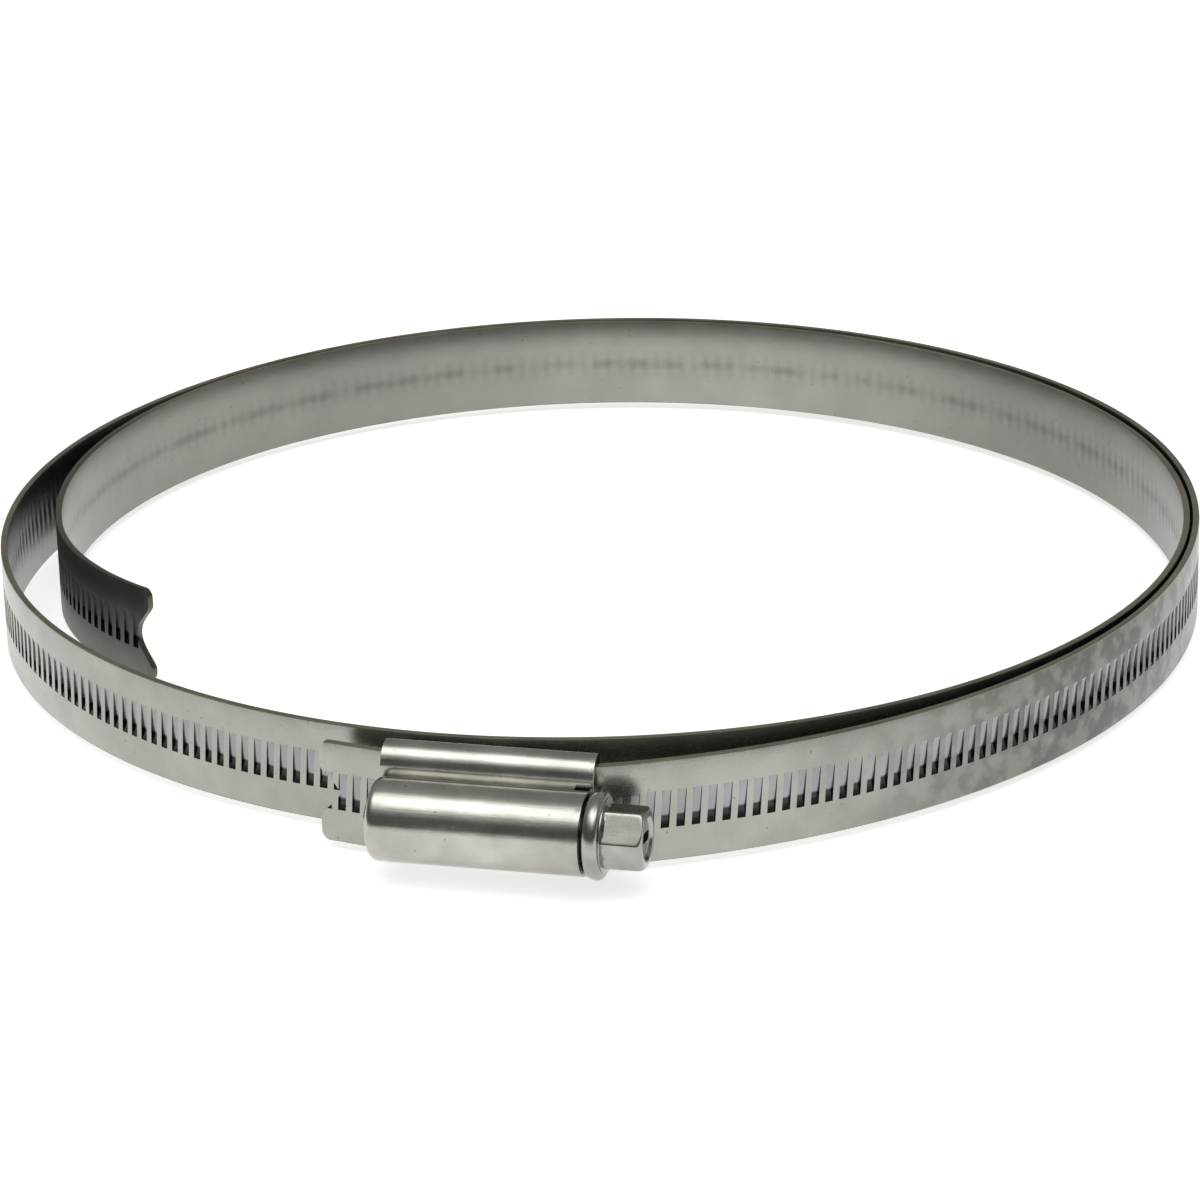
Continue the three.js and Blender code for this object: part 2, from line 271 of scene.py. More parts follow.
    grain_bump = node(tree, "ShaderNodeBump")
    grain_bump.inputs["Strength"].default_value = grain_strength
    grain_bump.inputs["Distance"].default_value = FINE_RELIEF
    link(lines.outputs["Fac"], grain_bump.inputs["Height"])
    scuff_bump = node(tree, "ShaderNodeBump")
    scuff_bump.inputs["Strength"].default_value = 0.16 * wear
    scuff_bump.inputs["Distance"].default_value = FINE_RELIEF
    link(scuffs.outputs["Fac"], scuff_bump.inputs["Height"])
    link(grain_bump.outputs["Normal"], scuff_bump.inputs["Normal"])
    wave_bump = node(tree, "ShaderNodeBump")
    wave_bump.inputs["Strength"].default_value = 0.22
    wave_bump.inputs["Distance"].default_value = WAVE_RELIEF
    link(blotches.outputs["Fac"], wave_bump.inputs["Height"])
    link(scuff_bump.outputs["Normal"], wave_bump.inputs["Normal"])
    link(wave_bump.outputs["Normal"], shader.inputs["Normal"])
    return material


def band_place(tree):
    """Distance along the strip and height up it, from the mesh's own layer.

    The inner side's height is stored INNER_SIDE higher."""
    layer = node(tree, "ShaderNodeUVMap", uv_map="along")
    split = node(tree, "ShaderNodeSeparateXYZ")
    tree.links.new(layer.outputs["UV"], split.inputs["Vector"])
    return split.outputs["X"], split.outputs["Y"]


def ramp(tree, value, low, high, at_low, at_high):
    made = node(tree, "ShaderNodeMapRange", interpolation_type="SMOOTHSTEP")
    for name, number in (("From Min", low), ("From Max", high), ("To Min", at_low), ("To Max", at_high)):
        made.inputs[name].default_value = number
    tree.links.new(value, made.inputs["Value"])
    return made.outputs["Result"]


def math_node(tree, operation, *values):
    """A Math node fed by sockets and numbers."""
    made = node(tree, "ShaderNodeMath", operation=operation)
    for socket, value in zip(made.inputs, values):
        if isinstance(value, (int, float)):
            socket.default_value = value
        else:
            tree.links.new(value, socket)
    return made.outputs[0]


def noise(tree, scale, source="Object"):
    coords = node(tree, "ShaderNodeTexCoord")
    made = node(tree, "ShaderNodeTexNoise")
    made.inputs["Scale"].default_value = scale
    made.inputs["Detail"].default_value = 4.0
    tree.links.new(coords.outputs[source], made.inputs["Vector"])
    return made.outputs["Fac"]


def ramp_between(tree, value, stops):
    """A bump in value: up from the first to the second stop, and down from the third to the fourth."""
    a, b, c, d = stops
    return math_node(tree, "MULTIPLY", ramp(tree, value, a, b, 0.0, 1.0), ramp(tree, value, c, d, 1.0, 0.0))


def object_x(tree):
    coords = node(tree, "ShaderNodeTexCoord")
    split = node(tree, "ShaderNodeSeparateXYZ")
    tree.links.new(coords.outputs["Object"], split.inputs["Vector"])
    return split.outputs["X"]


def press_marks_and_painted_shade(tree):
    """On the strip's inner side the pressed grooves show as faint ticks and a darker broken line; painted
    shade darkens the inner side towards the sides of the loop, for the darker reflections there.
    """
    along, up = band_place(tree)
    line = math_node(tree, "MULTIPLY", ramp_between(tree, up, LINE_STOPS), LINE_DEPTH)
    line = math_node(tree, "MULTIPLY", line, ramp(tree, noise(tree, LINE_SCALE), 0.35, 0.62, 0.15, 1.0))
    region = ramp_between(tree, up, TICK_STOPS)
    wave = math_node(tree, "SINE", math_node(tree, "MULTIPLY", along, 2 * math.pi / LEAD))
    ticks = math_node(tree, "MULTIPLY", region, ramp(tree, wave, -0.6, 1.0, 0.0, TICK_DEPTH))
    clean = math_node(tree, "SUBTRACT", 1.0, math_node(tree, "ADD", line, ticks))
    # Painted shade: darker towards both sides of the loop, more on the right
    x = object_x(tree)
    painted_shade_sides = math_node(tree, "MULTIPLY", ramp(tree, x, 5 * MM, 55 * MM, 1.0, 0.64),
                           ramp(tree, x, -55 * MM, -5 * MM, 0.78, 1.0))
    return math_node(tree, "MULTIPLY", clean, painted_shade_sides)


def stains_and_painted_shade(tree):
    """The strip's outer face is darker on the right-hand side of the loop, in patches: partly stains and
    partly painted shade for the darker reflections on that side. The free tail's painted shade is multiplied
    in.
    """
    # Painted shade and stain patches, darker towards the loop's right-hand side
    side = ramp(tree, object_x(tree), 34 * MM, 76 * MM, 0.0, 1.0)
    patches = ramp(tree, noise(tree, PATCH_SCALE), 0.40, 0.60, 0.44, 0.68)
    clean = math_node(tree, "SUBTRACT", 1.0, math_node(tree, "MULTIPLY", side, patches))
    return math_node(tree, "MULTIPLY", clean, tail_painted_shade(tree))


def along_tail(tree, before, after):
    """A number that changes from before to after over the start of the free tail."""
    end = TAIL_SHADE_START + TAIL_SHADE_FADE
    return ramp(tree, band_place(tree)[0], TAIL_SHADE_START, end, before, after)


def tail_painted_shade(tree):
    """Painted shade on the free tail: its outer face, rim and grooves are darkened where it lies in shade
    between the strip's layers.
    """
    return along_tail(tree, 1.0, 0.42)


def tail_dull(tree):
    """The free tail is rougher too, over the same stretch."""
    return along_tail(tree, 0.0, 0.26)


def groove_shade(tree):
    """Painted shade: the deep end of a groove is painted nearly black and clears up the ramp; the free
    tail's painted shade is multiplied in.
    """
    deep = ramp(tree, band_place(tree)[1], 5.6 * MM, 6.0 * MM, 0.15, 1.0)
    return math_node(tree, "MULTIPLY", deep, tail_painted_shade(tree))


LEAD = 1.9 * MM
INNER_SIDE = 20 * MM
# Heights of the marks on the inner side: start, full, full, end
LINE_STOPS = (25.1 * MM, 26.3 * MM, 26.3 * MM, 27.5 * MM)
LINE_DEPTH = 0.24
TICK_STOPS = (24.1 * MM, 25.2 * MM, 27.4 * MM, 29.0 * MM)
TICK_DEPTH = 0.07
# Where the free tail's painted shade and rougher finish begin along the strip, and how far they take to fade
# in
TAIL_SHADE_START = 868 * MM   # along the strip, from its fixed tip
TAIL_SHADE_FADE = 32 * MM
ALONG_STRIP = ("UV", (90, 5200, 1))
ALONG_BARREL = ("Object", (140, 2600, 2600))
AROUND_SCREW = ("Object", (5200, 500, 500))

band_face = steel("band_steel", (0.375, 0.378, 0.345), 0.26, ALONG_STRIP,
                  blotch=0.07, shade=stains_and_painted_shade, dull=tail_dull)
# The edge steel is darkened on the free tail with painted shade.
band_rim = steel("band_edge_steel", (0.30, 0.28, 0.215), 0.36, ALONG_STRIP,
                 grain_strength=0.4, blotch=0.14, shade=tail_painted_shade)
band_inside = steel("band_inner_steel", (0.330, 0.330, 0.300), 0.30, ALONG_STRIP,
                    blotch=0.05, shade=press_marks_and_painted_shade)
# Groove floors: their colour carries the painted groove shade.
band_groove = steel("band_groove_painted_shade_steel", (0.305, 0.31, 0.318), 0.24, ALONG_STRIP,
                    shade=groove_shade, dull=tail_dull)
# The groove walls are painted dark: painted shade inside the grooves.
band_wall_painted_shade = steel("band_groove_wall_painted_shade", (0.12, 0.117, 0.11), 0.36, ALONG_STRIP, shade=groove_shade)
housing_steel = steel("housing_steel", (0.42, 0.41, 0.375), 0.215, ALONG_BARREL,
                      grain_strength=0.4, blotch=0.15, wear=1.1)
screw_steel = steel("screw_steel", (0.465, 0.452, 0.422), 0.22, AROUND_SCREW,
                    grain_strength=0.3, blotch=0.20, wear=1.2)
# The screw's slot is painted dark: partly grime and partly painted shade inside the slot.
slot_grime_and_shade_steel = steel("screw_slot_grime_and_painted_shade", (0.10, 0.097, 0.088), 0.48, AROUND_SCREW,
                   blotch=0.20, wear=0.8)


# ---------------------------------------------------------------- strip
class StripPath:
    """The middle of the strip, laid out as tangent straights and arcs."""

    def __init__(self):
        tab = math.radians(TAB_BEND)
        x = STRAIGHT_START_X - BEND_RADIUS * math.sin(tab)
        y = STRIP_FACE_Y + BEND_RADIUS * (1 - math.cos(tab))
        self.pieces = []
        self.length = 0.0
        start = (x - TAB_LENGTH * math.cos(tab), y + TAB_LENGTH * math.sin(tab))
        self.heading = -tab
        self.x, self.y = start
        self._straight(TAB_LENGTH)
        self._arc(TAB_BEND, BEND_RADIUS)
        self.housing_start = self.length
        self._straight(STRAIGHT_END_X - self.x)
        self.housing_end = self.length
        for degrees, radius in LOOP_ARCS:
            self._arc(degrees, radius)

    def _straight(self, length):
        self.pieces.append((self.length, length, self.x, self.y, self.heading, None))
        self.x += length * math.cos(self.heading)
        self.y += length * math.sin(self.heading)
        self.length += length

    def _arc(self, degrees, radius):
        turn = math.radians(degrees)
        self.pieces.append((self.length, turn * radius, self.x, self.y, self.heading, radius))
        end = self.heading + turn
        self.x += radius * (math.sin(end) - math.sin(self.heading))
        self.y -= radius * (math.cos(end) - math.cos(self.heading))
        self.heading = end
        self.length += turn * radius

    def at(self, s):
        """Positions and headings at an array of distances; runs on straight past both ends."""
        s = np.asarray(s, float)
        out = np.zeros((len(s), 3))
        last = len(self.pieces) - 1
        for i, (begin, length, x, y, heading, radius) in enumerate(self.pieces):
            inside = (s >= begin) if i == last else (s >= begin) & (s < begin + length)
            if i == 0:
                inside |= s < begin
            d = s[inside] - begin
            if radius is None:
                out[inside] = np.stack([x + d * math.cos(heading), y + d * math.sin(heading),
                                        np.full(d.shape, heading)], 1)
            else:
                angle = heading + d / radius
                out[inside] = np.stack([x + radius * (np.sin(angle) - math.sin(heading)),
                                        y - radius * (np.cos(angle) - math.cos(heading)), angle], 1)
        return out


GROOVE_WIDTH = 1.05 * MM
GROOVE_WALL = 0.06 * MM
GROOVE_DEPTH = 0.38 * MM
GROOVE_LOW = 4.25 * MM
GROOVE_HIGH = 9.1 * MM
GROOVE_LEAN = math.tan(math.radians(4.3))
GROOVE_PHASE = 1.1 * MM
POCKET_TOP = 5.55 * MM
EDGE_ROUND = 0.17 * MM
END_SPARE = 1.5 * MM
# The notch in each end: (middle's height, half height, how pointed its floor is)
TAB_NOTCH = (MID_Z, 3.6 * MM, 1.0)
TAIL_NOTCH = (6.2 * MM, 4.3 * MM, 0.65)


def strip_section():
    """Rows round the strip's section: (outward offset, height, groove depth share, inner bulge, slot)."""
    half = BAND_THICKNESS / 2
    r = EDGE_ROUND
    k = 0.3 * r
    width = BAND_WIDTH
    face, rim, inside = 0, 1, 4
    rows = [
        (half, r, 0, 0, face),
        (half, GROOVE_LOW - 0.15 * MM, 0, 0, face),
        (half, GROOVE_LOW, 0, 0, face),
        (half, GROOVE_LOW + 0.04 * MM, 0.2, 0, face),
        (half, GROOVE_LOW + 0.75 * MM, 0.82, 0, face),
        (half, POCKET_TOP, 1.0, 0, face),
        (half, 6.1 * MM, 0.72, 0, face),
        (half, 6.8 * MM, 0.54, 0, face),
        (half, 7.7 * MM, 0.40, 0, face),
        (half, 8.5 * MM, 0.28, 0, face),
        (half, GROOVE_HIGH, 0, 0, face),
        (half, GROOVE_HIGH + 0.2 * MM, 0, 0, face),
        (half, width - r, 0, 0, face),
        (half - k, width - k, 0, 0, rim),
        (half - r, width, 0, 0, rim),
        (-half + r, width, 0, 0, rim),
        (-half + k, width - k, 0, 0, rim),
        (-half, width - r, 0, 0, inside),
        (-half, 8.6 * MM, 0, 0, inside),
        (-half, 7.4 * MM, 0, 0.7, inside),
        (-half, MID_Z, 0, 1.0, inside),
        (-half, 5.4 * MM, 0, 0.6, inside),
        (-half, 4.4 * MM, 0, 0, inside),
        (-half, r, 0, 0, inside),
        (-half + k, k, 0, 0, rim),
        (-half + r, 0, 0, 0, rim),
        (half - r, 0, 0, 0, rim),
        (half - k, k, 0, 0, rim),
    ]
    return rows


def end_outline(middle, half_height, power, samples=40):
    """Distance that the strip's end stands back from its tip, up the strip's width."""
    ear = 1.3 * MM
    depth = 2.6 * MM
    points = []
    for i in range(samples + 1):
        # closer together near the ears' rounded corners
        z = BAND_WIDTH * (1 - math.cos(math.pi * i / samples)) / 2
        near_edge = min(z, BAND_WIDTH - z)
        back = 0.0
        if near_edge < ear:
            back = ear - math.sqrt(max(0.0, ear ** 2 - (ear - near_edge) ** 2))
        t = (z - middle) / half_height
        if abs(t) < 1:
            back += depth * ((1 + math.cos(t * math.pi)) / 2) ** power
        points.append((back, z))
    return points


def end_cutter(path, s, direction, notch):
    """A block that trims one end of the strip to its notched outline."""
    x, y, heading = path.at([s])[0]
    inward = Vector((math.cos(heading), math.sin(heading), 0)) * direction
    across = Vector((-inward.y, inward.x, 0))
    beyond = 3 * MM
    outline = [(-beyond, -beyond)]
    edge = end_outline(*notch)
    low, high = edge[0], edge[-1]
    outline.append((low[0], -beyond))
    outline.extend(edge)
    outline.append((high[0], BAND_WIDTH + beyond))
    outline.append((-beyond, BAND_WIDTH + beyond))
    verts = []
    for side in (-1, 1):
        for back, z in outline:
            p = Vector((x, y, z)) + inward * back + across * side * 1.4 * MM
            verts.append(p)
    n = len(outline)
    faces = [tuple(range(n)), tuple(range(2 * n - 1, n - 1, -1))]
    for i in range(n):
        faces.append((i, (i + 1) % n, n + (i + 1) % n, n + i))
    cutter = new_object("end_cutter", verts, faces, [band_rim], uvs=[(s, MID_Z)] * len(verts))
    outward(cutter)
    return cutter


def make_band():
    path = StripPath()
    rows = strip_section()
    half_width = GROOVE_WIDTH / 2
    across = [-half_width, -half_width + GROOVE_WALL, 0, half_width - GROOVE_WALL, half_width, LEAD / 2]
    in_groove = [0, 1, 1, 1, 0, 0]
    first = math.floor(-END_SPARE / LEAD)
    last = math.ceil((path.length + END_SPARE) / LEAD)
    base = []
    share = []
    for k in range(first, last):
        for a, inside in zip(across, in_groove):
            base.append(GROOVE_PHASE + k * LEAD + a)
            share.append(inside)
    base = np.array(base)
    share = np.array(share, float)
    keep = (base > -END_SPARE) & (base < path.length + END_SPARE)
    base, share = base[keep], share[keep]
    columns = len(base)
    verts = np.zeros((len(rows), columns, 3))
    uvs = np.zeros((len(rows), columns, 2))
    for i, (offset, z, depth, bulge, _) in enumerate(rows):
        lean = GROOVE_LEAN * (min(max(z, GROOVE_LOW), GROOVE_HIGH) - MID_Z)
        s = base + lean
        place = path.at(s)
        out = offset - share * depth * GROOVE_DEPTH - share * bulge * 0.02 * MM
        verts[i, :, 0] = place[:, 0] + out * np.sin(place[:, 2])
        verts[i, :, 1] = place[:, 1] - out * np.cos(place[:, 2])
        verts[i, :, 2] = z
        uvs[i, :, 0] = s
        uvs[i, :, 1] = z + (INNER_SIDE if offset < 0 else 0)
    count = len(rows)
    faces = []
    slots = []
    groove_rows = range(2, 10)
    floor = (share[:-1] > 0) & (share[1:] > 0)
    wall = (share[:-1] != share[1:])
    for i in range(count):
        n = (i + 1) % count
        is_rim = rows[i][4] == 1 or rows[n][4] == 1
        for j in range(columns - 1):
            faces.append((i * columns + j, i * columns + j + 1, n * columns + j + 1, n * columns + j))
            slot = 1 if is_rim else rows[i][4]
            # Groove floors get the painted groove shade, groove walls the dark painted-shade wall steel
            if i in groove_rows and floor[j]:
                slot = 2
            elif i in groove_rows and wall[j]:
                slot = 3
            slots.append(slot)
    for j, flip in ((0, False), (columns - 1, True)):
        ring = [i * columns + j for i in range(count)]
        faces.append(tuple(ring if flip else reversed(ring)))
        slots.append(1)
    band = new_object("band_detail", verts.reshape(-1, 3), faces,
                      [band_face, band_rim, band_groove, band_wall_painted_shade, band_inside], slots, uvs.reshape(-1, 2))
    outward(band)
    cut(band, end_cutter(path, 0.0, 1, TAB_NOTCH))
    cut(band, end_cutter(path, path.length, -1, TAIL_NOTCH))
    smooth(band, 30)
    return band


# ---------------------------------------------------------------- housing
SEAM_ANGLE = 50          # where the rolled barrel's free edge lies, up from the strip
SEAM_NOTCH = 2.3 * MM    # the edge stands back here, at the head end
SEAM_NOTCH_ANGLE = 9
BARREL_ROUNDING = 1.1 * MM
SADDLE_MID_CORNER = 0.65 * MM
BACK_MID_CORNER = 0.45 * MM      # upper back corner
SHOULDER_MID_RADIUS = 2.65 * MM
CREST_RISE = 0.25 * MM           # the upper side stands this much prouder than the lower one
FREE_EDGE_Z = 9.75 * MM   # the upper side ends behind the barrel's free edge


def housing_path():
    """The pressed sheet's middle line in (Y, Z): barrel, lower side, back, upper side.

    Each point is (y, z, outward normal y, outward normal z, share of the barrel's end rounding)."""
    mid = BARREL_RADIUS - SHEET / 2
    points = []

    def arc(cy, cz, radius, start, end, steps, outside, share):
        for i in range(steps + 1):
            a = math.radians(start + (end - start) * i / steps)
            ny, nz = math.cos(a) * outside, math.sin(a) * outside
            points.append((cy + radius * math.cos(a), cz + radius * math.sin(a), ny, nz, share(i / steps)))

    def line(y0, z0, y1, z1, steps, ny, nz):
        for i in range(1, steps):
            t = i / steps
            points.append((y0 + (y1 - y0) * t, z0 + (z1 - z0) * t, ny, nz, 0.0))

    front = SADDLE_FRONT_Y + SHEET / 2
    back = SADDLE_BACK_Y - SHEET / 2
    low = -SADDLE_SIDE + SHEET / 2
    high = BAND_WIDTH + SADDLE_SIDE + CREST_RISE - SHEET / 2
    back_corner = BACK_MID_CORNER
    corner = SADDLE_MID_CORNER
    # Concave fillet between the barrel and the lower side: its centre is outside both.
    fillet = 0.75 * MM
    fillet_y = front - fillet
    drop = math.sqrt((mid + fillet) ** 2 - (fillet_y - SCREW_Y) ** 2)
    fillet_z = MID_Z - drop
    meet = math.degrees(math.atan2(fillet_z - MID_Z, fillet_y - SCREW_Y)) % 360
    arc(SCREW_Y, MID_Z, mid, SEAM_ANGLE, meet, 64, 1, lambda t: 1.0)
    arc(fillet_y, fillet_z, fillet, meet - 180, 0, 6, -1, lambda t: max(0.0, 1 - 2 * t))
    line(front, fillet_z, front, low + corner, 4, -1, 0)
    arc(front + corner, low + corner, corner, 180, 270, 8, 1, lambda t: 0.0)
    line(front + corner, low, back - corner, low, 3, 0, -1)
    arc(back - corner, low + corner, corner, -90, 0, 8, 1, lambda t: 0.0)
    line(back, low + corner, back, high - back_corner, 12, 1, 0)
    arc(back - back_corner, high - back_corner, back_corner, 0, 90, 8, 1, lambda t: 0.0)
    shoulder = SHOULDER_MID_RADIUS
    arc(front + shoulder, high - shoulder, shoulder, 90, 180, 18, 1, lambda t: 0.0)
    line(front, high - shoulder, front, FREE_EDGE_Z, 3, -1, 0)
    points.append((front, FREE_EDGE_Z, -1, 0, 0.0))
    return points


def housing_stations():
    """Along the housing, tip to head end: (outer x, outer inset, inner x, inner inset, saddle x)."""
    outer_r, inner_r = BARREL_ROUNDING, BARREL_ROUNDING - SHEET
    x0, x1 = HOUSING_X0, HOUSING_X1
    centre = x0 + outer_r
    stations = []
    lip_inset_outer = BARREL_RADIUS - LIP_RADIUS
    lip_inset_inner = BARREL_RADIUS - SHEET - LIP_RADIUS
    nick = 0.1 * MM
    stations.append((x0 + nick, lip_inset_outer, x0 + SHEET - nick, lip_inset_inner, x0 + 0.04 * MM))
    stations.append((x0, lip_inset_outer - nick, x0 + SHEET, lip_inset_inner - nick, x0 + 0.05 * MM))
    for i in range(7):
        a = math.radians(90 * i / 6)
        stations.append((centre - outer_r * math.cos(a), outer_r * (1 - math.sin(a)),
                         centre - inner_r * math.cos(a), inner_r * (1 - math.sin(a)),
                         x0 + (0.06 + 0.17 * i) * MM))
    for x in np.linspace(centre + 1.4 * MM, x1 - SEAM_NOTCH - 0.05 * MM, 8):
        stations.append((x, 0, x, 0, x))
    notch = x1 - SEAM_NOTCH
    for x in (notch, notch + 0.6 * MM, notch + 1.4 * MM, x1 - 0.1 * MM):
        stations.append((x, 0, x, 0, x))
    stations.append((x1 - 0.03 * MM, 0.03 * MM, x1 - 0.03 * MM, -0.03 * MM, x1 - 0.03 * MM))
    stations.append((x1, 0.1 * MM, x1, -0.1 * MM, x1))
    return stations


def make_housing():
    points = housing_path()
    stations = housing_stations()
    sides = []
    edge = 0.13 * MM
    for outer in (True, False):
        grid = []
        for k, (xo, io, xi, ii, xs) in enumerate(stations):
            notched = xo > HOUSING_X1 - SEAM_NOTCH - 0.01 * MM
            row = []
            for index, (y, z, ny, nz, share) in enumerate(points):
                if index < 12 and notched:
                    # the free edge stands back at the head end
                    t = 1 - index / 12
                    a = math.radians(SEAM_NOTCH_ANGLE) * t
                    dy, dz = y - SCREW_Y, z - MID_Z
                    y = SCREW_Y + dy * math.cos(a) - dz * math.sin(a)
                    z = MID_Z + dy * math.sin(a) + dz * math.cos(a)
                    ny, nz = ny * math.cos(a) - nz * math.sin(a), ny * math.sin(a) + nz * math.cos(a)
                thickness = SHEET / 2
                if index in (0, len(points) - 1):
                    thickness -= edge
                x_barrel, inset = (xo, io) if outer else (xi, ii)
                x = x_barrel * share + xs * (1 - share)
                end_round = 0.0
                if share < 1 and k >= len(stations) - 2 and outer:
                    end_round = io
                out = (thickness if outer else -thickness) - inset * share - end_round * (1 - share)
                row.append((x, y + ny * out, z + nz * out))
            grid.append(row)
        sides.append(grid)
    rows, columns = len(stations), len(points)
    verts = [p for grid in sides for row in grid for p in row]
    offset = rows * columns
    faces = [tuple(reversed(f)) for f in grid_faces(rows, columns)]
    faces += grid_faces(rows, columns, start=offset)
    for i in range(rows - 1):
        for j in (0, columns - 1):
            a, b = i * columns + j, (i + 1) * columns + j
            faces.append((a, b, b + offset, a + offset))
    for j in range(columns - 1):
        for i in (0, rows - 1):
            a, b = i * columns + j, i * columns + j + 1
            faces.append((a, b, b + offset, a + offset))
    housing = new_object("housing_detail", verts, faces, [housing_steel])
    outward(housing)
    for share in (0.2, 0.8):
        stake = ball("stake", 3 * MM, (
            HOUSING_X0 + share * (HOUSING_X1 - HOUSING_X0), SADDLE_BACK_Y + 2.7 * MM, MID_Z))
        cut(housing, stake)
    smooth(housing, 34)
    return housing


def ball(name, radius, centre):
    mesh = bpy.data.meshes.new(name)
    bm = bmesh.new()
    bmesh.ops.create_uvsphere(bm, u_segments=48, v_segments=24, radius=radius)
    bmesh.ops.translate(bm, verts=bm.verts, vec=Vector(centre) + SHIFT)
    bm.to_mesh(mesh)
    bm.free()
    obj = bpy.data.objects.new(name, mesh)
    bpy.context.scene.collection.objects.link(obj)
    return obj


# ---------------------------------------------------------------- screw
TIP_X = -5.1 * MM
THREAD_START_X = -3.2 * MM
THREAD_END_X = 20.9 * MM
CREST_RADIUS = 4.3 * MM
ROOT_RADIUS = 3.45 * MM
JOURNAL_RADIUS = 2.6 * MM
COLLAR_X0 = 22.05 * MM
# The collar's outline in mm: (distance from its face, radius)
COLLAR_OUTLINE = [
    (0, 3.0), (0, 4.6), (0.06, 4.84), (0.22, 5.03), (0.55, 5.2), (0.9, 5.31), (1.25, 5.35),
    (1.5, 5.32), (1.7, 5.23), (1.86, 5.08), (1.97, 4.88), (2.03, 4.62), (2.04, 4.3), (2.1, 3.0),
]
HEX_START_X = 24.2 * MM
HEX_END_X = 29.1 * MM
FLAT_RADIUS = 3.5 * MM
HEX_TURN = 8
SLOT_LENGTH = 4.2 * MM
SLOT_WIDTH = 1.2 * MM
SLOT_DEPTH = 1.6 * MM


def revolved(rings, segments, radius_at=None):
    """Closed surface about the screw's axis from (x, radius) rings; the first and last close to a point."""
    verts = [(rings[0][0], 0, 0)]
    for x, radius in rings:
        for j in range(segments):
            a = 2 * math.pi * j / segments
            r = radius if radius_at is None else radius_at(x, a, radius)
            verts.append((x, r * math.cos(a), r * math.sin(a)))
    verts.append((rings[-1][0], 0, 0))
    faces = grid_faces(len(rings), segments, wrap_columns=True, start=1)
    last = 1 + (len(rings) - 1) * segments
    for j in range(segments):
        n = (j + 1) % segments
        faces.append((0, 1 + n, 1 + j))
        faces.append((len(verts) - 1, last + j, last + n))
    return [(x, y + SCREW_Y, z + MID_Z) for x, y, z in verts], faces


def thread_radius(x, angle, plain):
    """Radius of the worm's wave, or the plain radius outside the thread."""
    if x < THREAD_START_X or x > THREAD_END_X:
        return plain
    wave = math.cos(2 * math.pi * (x / LEAD) - angle)
    flank = min(1.0, max(0.0, (wave + 0.55) / 1.1))
    from_end = min(x - THREAD_START_X, THREAD_END_X - x)
    runout = min(1.0, from_end / (1.2 * MM))
    return ROOT_RADIUS + (CREST_RADIUS - ROOT_RADIUS) * flank * runout


def hexagon(angle):
    """Radius of a hexagon with slightly rounded corners."""
    power = 46
    total = 0.0
    for k in range(6):
        flat = math.radians(180 - HEX_TURN + 30 + 60 * k)
        total += max(0.0, math.cos(angle - flat)) ** power
    return FLAT_RADIUS / total ** (1 / power)


def soft_min(a, b, width):
    return -width * math.log(math.exp(-a / width) + math.exp(-b / width))


def head_radius(x, angle, limit):
    base = soft_min(hexagon(angle), limit, 0.06 * MM)
    flare_length = 0.9 * MM
    t = min(1.0, max(0.0, (x - HEX_START_X) / flare_length))
    flare = 3.0 * MM + 1.55 * MM * (1 - math.sqrt(max(0.0, 1 - (1 - t) ** 2)))
    return -soft_min(-base, -flare, 0.05 * MM)


def make_screw():
    shank = [
        (TIP_X, JOURNAL_RADIUS - 0.45 * MM), (TIP_X + 0.12 * MM, JOURNAL_RADIUS - 0.15 * MM),
        (TIP_X + 0.4 * MM, JOURNAL_RADIUS), (THREAD_START_X - 0.02 * MM, JOURNAL_RADIUS),
    ]
    steps = int((THREAD_END_X - THREAD_START_X) / LEAD * 14)
    for i in range(steps + 1):
        shank.append((THREAD_START_X + (THREAD_END_X - THREAD_START_X) * i / steps, ROOT_RADIUS))
    shank += [(THREAD_END_X + 0.02 * MM, 3.2 * MM), (COLLAR_X0 + 0.3 * MM, 3.2 * MM)]
    parts = [revolved(shank, 64, thread_radius)]
    parts.append(revolved([(COLLAR_X0 + x * MM, r * MM) for x, r in COLLAR_OUTLINE], 96))
    rim = 3.05 * MM
    shoulder = 1.35 * MM
    limits = [(HEX_START_X - 0.3 * MM, 6 * MM)]
    body_end = HEX_END_X - shoulder
    for i in range(26):
        limits.append((HEX_START_X + (body_end - HEX_START_X) * i / 25, 6 * MM))
    for i in range(1, 17):
        a = math.radians(90 * i / 16)
        limits.append((body_end + shoulder * math.sin(a), rim + 1.15 * MM * math.cos(a) ** 0.9))
    # flat rim, then a dished end
    dish = [(0, 0.25), (0.05, 0.4), (0.22, 0.55), (0.40, 0.75), (0.48, 1.1)]
    head_rings = limits + [(HEX_END_X - depth * MM, rim - inward * MM) for depth, inward in dish]
    head_rings.append((HEX_END_X - 0.5 * MM, 0.6 * MM))

    def head_at(x, angle, limit):
        if limit < rim - 0.01 * MM:
            return limit
        return head_radius(x, angle, limit)

    parts.append(revolved(head_rings, 180, head_at))
    verts, faces = [], []
    for part_verts, part_faces in parts[:2]:
        start = len(verts)
        verts += part_verts
        faces += [tuple(start + v for v in f) for f in part_faces]
    screw = new_object("worm_screw_detail", verts, faces, [screw_steel, slot_grime_and_shade_steel])
    outward(screw)
    head = new_object("head", *parts[2], [screw_steel, slot_grime_and_shade_steel])
    outward(head)
    cut(head, slot_cutter())
    join(screw, head)
    smooth(screw, 28)
    return screw


